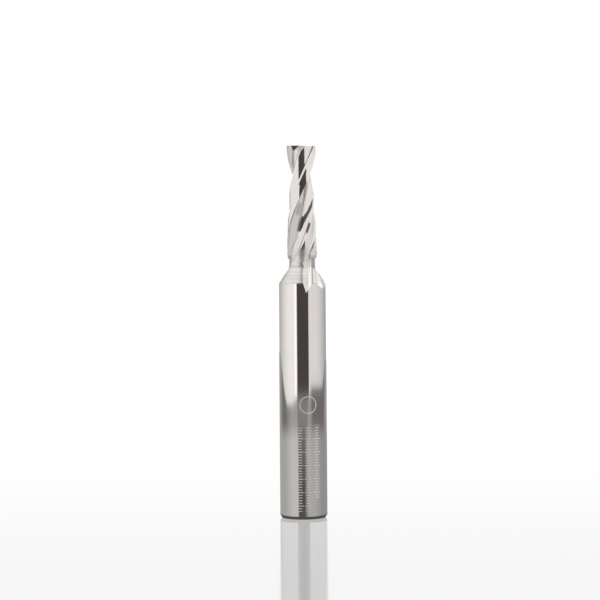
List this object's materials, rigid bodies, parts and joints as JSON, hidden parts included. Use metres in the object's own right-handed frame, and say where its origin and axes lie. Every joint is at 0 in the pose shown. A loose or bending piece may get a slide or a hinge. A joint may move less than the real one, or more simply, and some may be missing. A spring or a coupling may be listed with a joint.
{
  "type": "finishing end mill",
  "caption": "Solid carbide end mill with spiral flutes on a slim cutting part, a short cone and a plain round shank.",
  "frame": {"origin": "centre of the shank's flat end face, on which the tool stands", "axes": "+Z along the tool's axis from the shank to the cutting tip, +X along the first end cutting edge"},
  "size_m": [0.008, 0.008, 0.063],
  "materials": {
    "ground_carbide": "bright ground tungsten carbide, finely lined"
  },
  "bodies": {
    "root": {"end_mill": "ground_carbide"}
  },
  "joints": []
}
